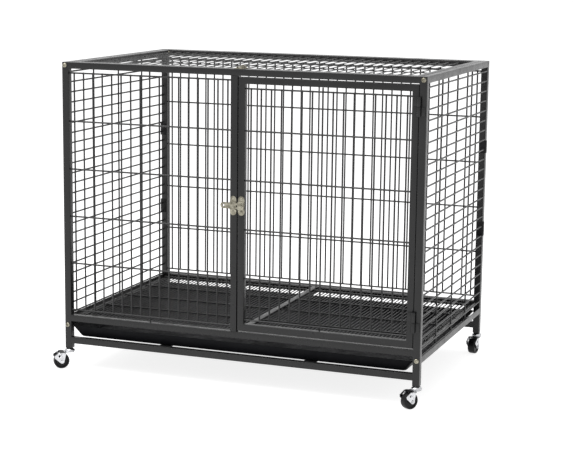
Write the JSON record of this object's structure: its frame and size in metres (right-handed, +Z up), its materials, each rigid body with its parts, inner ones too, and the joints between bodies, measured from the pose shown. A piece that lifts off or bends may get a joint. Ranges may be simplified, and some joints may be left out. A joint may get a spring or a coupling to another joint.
{
  "type": "dog enclosure",
  "caption": "Steel wire dog crate on braked swivel castors, with a bolted front door, a roof lid, lift-out floor grates and a slide-out dirt tray.",
  "frame": {"origin": "on the floor under the middle of the box that holds the crate and its castors", "axes": "+Z up, the front with the door faces -Y, +X to the right seen from the front"},
  "size_m": [0.9834, 0.6404, 0.792],
  "materials": {
    "frame_paint": "satin",
    "wire_paint": "satin",
    "tray_black": "matte",
    "nickel": "satin",
    "castor_chrome": "polished",
    "wheel_black": "satin"
  },
  "bodies": {
    "frame": {"front_left_post": "frame_paint", "front_right_post": "frame_paint", "back_left_post": "frame_paint", "back_right_post": "frame_paint", "front_middle_post": "frame_paint", "front_top_beam": "frame_paint", "front_floor_beam": "frame_paint", "front_lower_beam": "frame_paint", "back_top_beam": "frame_paint", "back_floor_beam": "frame_paint", "back_lower_beam": "frame_paint", "left_top_rail": "frame_paint", "right_top_rail": "frame_paint", "left_bottom_rail": "frame_paint", "right_bottom_rail": "frame_paint", "front_left_mat": "wire_paint", "back_mat": "wire_paint", "left_mat": "wire_paint", "right_mat": "wire_paint", "left_bearer": "frame_paint", "centre_bearer": "frame_paint", "right_bearer": "frame_paint", "left_tray_slat": "frame_paint", "right_tray_slat": "frame_paint", "door_latch_keeper": "nickel", "lid_latch_keeper": "nickel", "lower_hinge_post_half": "frame_paint", "upper_hinge_post_half": "frame_paint", "lid_left_pivot": "nickel", "lid_right_pivot": "nickel", "front_left_castor_housing": "castor_chrome", "front_right_castor_housing": "castor_chrome", "back_left_castor_housing": "castor_chrome", "back_right_castor_housing": "castor_chrome"},
    "door": {"door_frame": "frame_paint", "door_mat": "wire_paint", "door_latch_guide": "nickel", "lower_hinge_door_half": "frame_paint", "upper_hinge_door_half": "frame_paint"},
    "door_bolt": {"door_latch_bolt": "nickel"},
    "lid": {"lid_frame": "frame_paint", "lid_mat": "wire_paint", "lid_latch_guide": "nickel"},
    "lid_bolt": {"lid_latch_bolt": "nickel"},
    "left_floor_grate": {"left_grate": "wire_paint"},
    "right_floor_grate": {"right_grate": "wire_paint"},
    "dirt_tray": {"tray": "tray_black"},
    "front_left_castor": {"front_left_castor_fork": "castor_chrome"},
    "front_left_castor_wheel": {"front_left_wheel": "wheel_black"},
    "front_left_castor_brake": {"front_left_brake": "wheel_black"},
    "front_right_castor": {"front_right_castor_fork": "castor_chrome"},
    "front_right_castor_wheel": {"front_right_wheel": "wheel_black"},
    "front_right_castor_brake": {"front_right_brake": "wheel_black"},
    "back_left_castor": {"back_left_castor_fork": "castor_chrome"},
    "back_left_castor_wheel": {"back_left_wheel": "wheel_black"},
    "back_left_castor_brake": {"back_left_brake": "wheel_black"},
    "back_right_castor": {"back_right_castor_fork": "castor_chrome"},
    "back_right_castor_wheel": {"back_right_wheel": "wheel_black"},
    "back_right_castor_brake": {"back_right_brake": "wheel_black"}
  },
  "joints": [
    {"name": "door_hinge", "type": "hinge", "parent": "frame", "child": "door", "pos_m": [0.46475, -0.2904, 0.453], "axis": [0, 0, 1], "range_deg": [0, 170]},
    {"name": "lid_hinge", "type": "hinge", "parent": "frame", "child": "lid", "pos_m": [0.0121, 0.2687, 0.775], "axis": [-1, 0, 0], "range_deg": [0, 95]},
    {"name": "door_bolt_slide", "type": "slide", "parent": "door", "child": "door_bolt", "axis": [1, 0, 0], "range_m": [0, 0.044]},
    {"name": "lid_bolt_slide", "type": "slide", "parent": "lid", "child": "lid_bolt", "axis": [0, 1, 0], "range_m": [0, 0.0165]},
    {"name": "tray_slide", "type": "slide", "parent": "frame", "child": "dirt_tray", "axis": [0, -1, 0], "range_m": [0, 0.55]},
    {"name": "left_grate_lift", "type": "slide", "parent": "frame", "child": "left_floor_grate", "axis": [0, 0, 1], "range_m": [0, 0.3]},
    {"name": "right_grate_lift", "type": "slide", "parent": "frame", "child": "right_floor_grate", "axis": [0, 0, 1], "range_m": [0, 0.3]},
    {"name": "front_left_swivel", "type": "hinge", "parent": "frame", "child": "front_left_castor", "pos_m": [-0.4499, -0.2773, 0.04], "axis": [0, 0, 1], "continuous": true},
    {"name": "front_left_wheel_spin", "type": "hinge", "parent": "front_left_castor", "child": "front_left_castor_wheel", "pos_m": [-0.46723, -0.29085, 0.02], "axis": [-0.6157, 0.788, 0], "continuous": true},
    {"name": "front_left_brake_lever", "type": "hinge", "parent": "front_left_castor", "child": "front_left_castor_brake", "pos_m": [-0.46723, -0.29085, 0.02], "axis": [0.6157, -0.788, 0], "range_deg": [0, 15]},
    {"name": "front_right_swivel", "type": "hinge", "parent": "frame", "child": "front_right_castor", "pos_m": [0.4741, -0.2773, 0.04], "axis": [0, 0, 1], "continuous": true},
    {"name": "front_right_wheel_spin", "type": "hinge", "parent": "front_right_castor", "child": "front_right_castor_wheel", "pos_m": [0.46212, -0.29575, 0.02], "axis": [-0.8387, 0.5446, 0], "continuous": true},
    {"name": "front_right_brake_lever", "type": "hinge", "parent": "front_right_castor", "child": "front_right_castor_brake", "pos_m": [0.46212, -0.29575, 0.02], "axis": [0.8387, -0.5446, 0], "range_deg": [0, 15]},
    {"name": "back_left_swivel", "type": "hinge", "parent": "frame", "child": "back_left_castor", "pos_m": [-0.4499, 0.3027, 0.04], "axis": [0, 0, 1], "continuous": true},
    {"name": "back_left_wheel_spin", "type": "hinge", "parent": "back_left_castor", "child": "back_left_castor_wheel", "pos_m": [-0.4609, 0.28365, 0.02], "axis": [-0.866, 0.5, 0], "continuous": true},
    {"name": "back_left_brake_lever", "type": "hinge", "parent": "back_left_castor", "child": "back_left_castor_brake", "pos_m": [-0.4609, 0.28365, 0.02], "axis": [0.866, -0.5, 0], "range_deg": [0, 15]},
    {"name": "back_right_swivel", "type": "hinge", "parent": "frame", "child": "back_right_castor", "pos_m": [0.4741, 0.3027, 0.04], "axis": [0, 0, 1], "continuous": true},
    {"name": "back_right_wheel_spin", "type": "hinge", "parent": "back_right_castor", "child": "back_right_castor_wheel", "pos_m": [0.47142, 0.28086, 0.02], "axis": [-0.9925, 0.1219, 0], "continuous": true},
    {"name": "back_right_brake_lever", "type": "hinge", "parent": "back_right_castor", "child": "back_right_castor_brake", "pos_m": [0.47142, 0.28086, 0.02], "axis": [0.9925, -0.1219, 0], "range_deg": [0, 15]}
  ]
}
